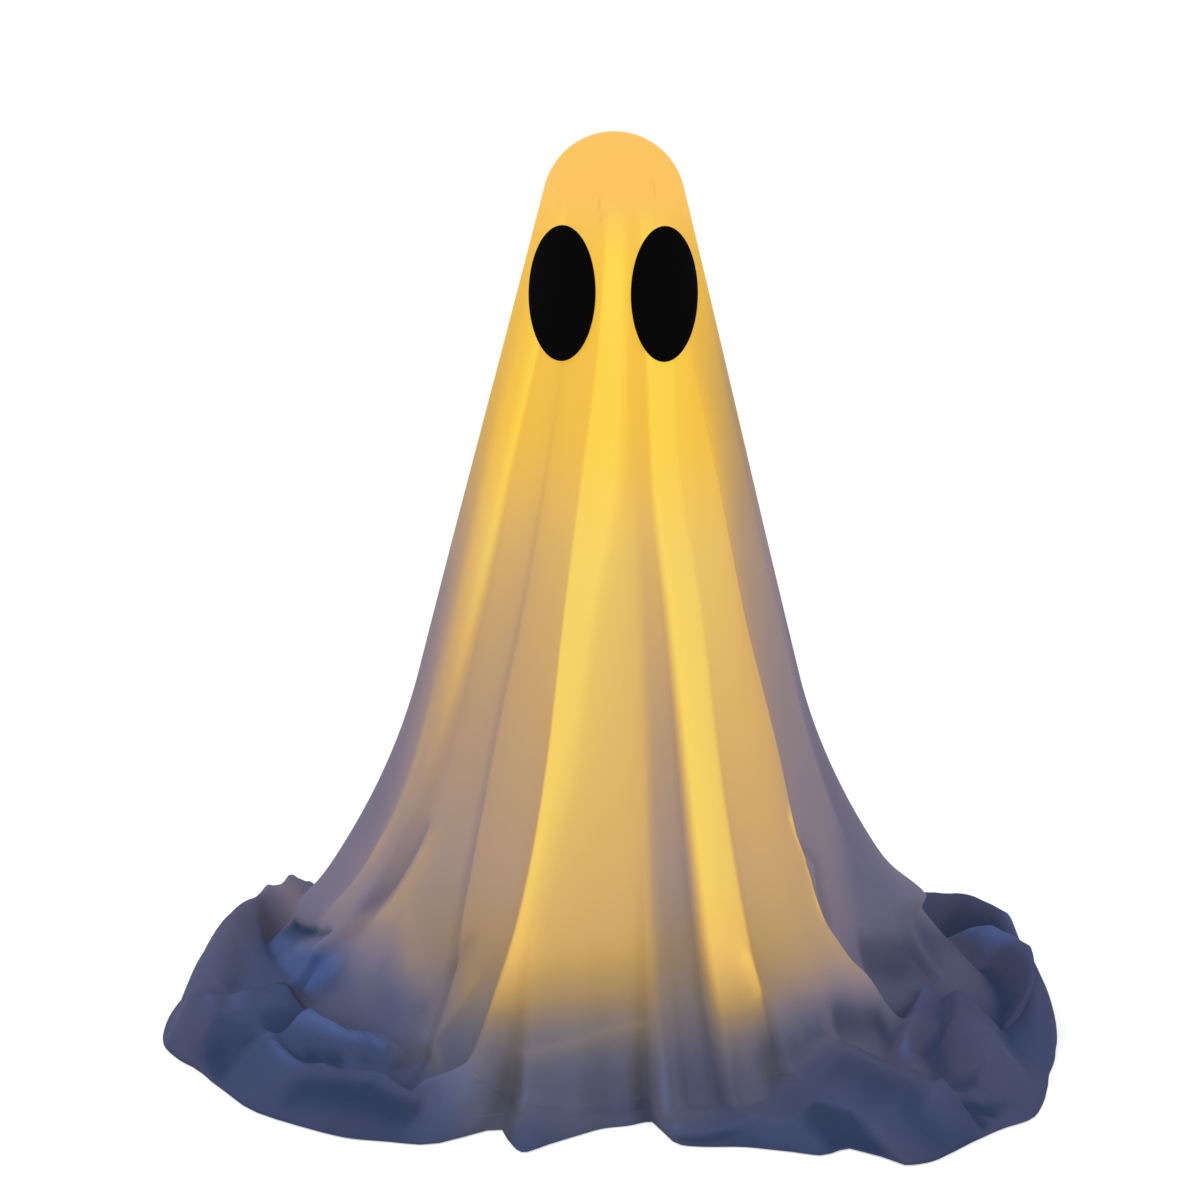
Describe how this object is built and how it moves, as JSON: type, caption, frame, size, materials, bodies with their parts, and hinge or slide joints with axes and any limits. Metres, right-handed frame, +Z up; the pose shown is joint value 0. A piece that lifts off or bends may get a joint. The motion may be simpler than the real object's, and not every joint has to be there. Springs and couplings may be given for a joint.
{
  "type": "light-up ghost figure",
  "caption": "Standing ghost: a translucent sheet with two felt eyes, draped over a foam ball on a folding stand with a battery lamp, its hem spread on the floor.",
  "frame": {"origin": "on the floor, under the middle of the hem's outline, which is the middle of the pole", "axes": "+Z up the pole to the head, the ghost's face looks along -Y, +X to the right as seen from the front"},
  "size_m": [0.6134, 0.5619, 0.61],
  "materials": {
    "sheet_cloth": "matt translucent voile, lit from inside",
    "black_felt": "matt felt",
    "foam": "expanded foam beads",
    "white_plastic": "fine texture",
    "black_plastic": "fine texture",
    "frosted_plastic": "frosted, lit",
    "circuit_board": "white solder mask",
    "led": "warm white LED, lit",
    "pole_aluminium": "satin drawn tube",
    "steel": "bright plated",
    "foot_rubber": "matt",
    "battery_jacket": "plain printed-free sleeve",
    "lead_jacket": "soft plastic jacket"
  },
  "bodies": {
    "stand": {"head_ball": "foam", "lamp_cap": "white_plastic", "lamp_tube": "frosted_plastic", "lamp_base": "white_plastic", "led_board": "circuit_board", "led_front_1": "led", "led_front_2": "led", "led_front_3": "led", "led_front_4": "led", "led_rear_1": "led", "led_rear_2": "led", "led_rear_3": "led", "led_rear_4": "led", "upper_pole": "pole_aluminium", "lower_pole": "pole_aluminium", "pole_coupler": "black_plastic", "tripod_hub": "black_plastic", "pole_set_screw": "steel", "leg_pin_1": "steel", "leg_pin_2": "steel", "leg_pin_3": "steel", "battery_box": "white_plastic", "battery_1": "battery_jacket", "battery_2": "battery_jacket", "battery_3": "battery_jacket", "contact_spring_1": "steel", "contact_spring_2": "steel", "contact_spring_3": "steel", "contact_plate_1": "steel", "contact_plate_2": "steel", "contact_plate_3": "steel", "switch_housing": "black_plastic", "pole_clip": "black_plastic", "clip_screw_left": "steel", "clip_screw_right": "steel", "lamp_lead": "lead_jacket", "lead_grommet": "foot_rubber", "lead_strap": "black_plastic"},
    "draped_sheet": {"sheet": "sheet_cloth", "eye_left": "black_felt", "eye_right": "black_felt"},
    "leg_1": {"leg_knuckle_1": "black_plastic", "leg_tube_1": "pole_aluminium", "leg_foot_1": "foot_rubber"},
    "leg_2": {"leg_knuckle_2": "black_plastic", "leg_tube_2": "pole_aluminium", "leg_foot_2": "foot_rubber"},
    "leg_3": {"leg_knuckle_3": "black_plastic", "leg_tube_3": "pole_aluminium", "leg_foot_3": "foot_rubber"},
    "cover": {"battery_cover": "white_plastic"},
    "switch": {"switch_slider": "white_plastic"}
  },
  "joints": [
    {"name": "sheet_lift", "type": "slide", "parent": "stand", "child": "draped_sheet", "axis": [0, 0, 1], "range_m": [0, 0.62]},
    {"name": "leg_1_fold", "type": "hinge", "parent": "stand", "child": "leg_1", "pos_m": [0, 0.022, 0.14], "axis": [-1, 0, 0], "range_deg": [0, 34]},
    {"name": "leg_2_fold", "type": "hinge", "parent": "stand", "child": "leg_2", "pos_m": [-0.01905, -0.011, 0.14], "axis": [0.5, -0.866, 0], "range_deg": [0, 34]},
    {"name": "leg_3_fold", "type": "hinge", "parent": "stand", "child": "leg_3", "pos_m": [0.01905, -0.011, 0.14], "axis": [0.5, 0.866, 0], "range_deg": [0, 34]},
    {"name": "cover_slide", "type": "slide", "parent": "stand", "child": "cover", "axis": [0, 0, 1], "range_m": [0, 0.072]},
    {"name": "switch_slide", "type": "slide", "parent": "stand", "child": "switch", "axis": [1, 0, 0], "range_m": [0, 0.004]}
  ]
}
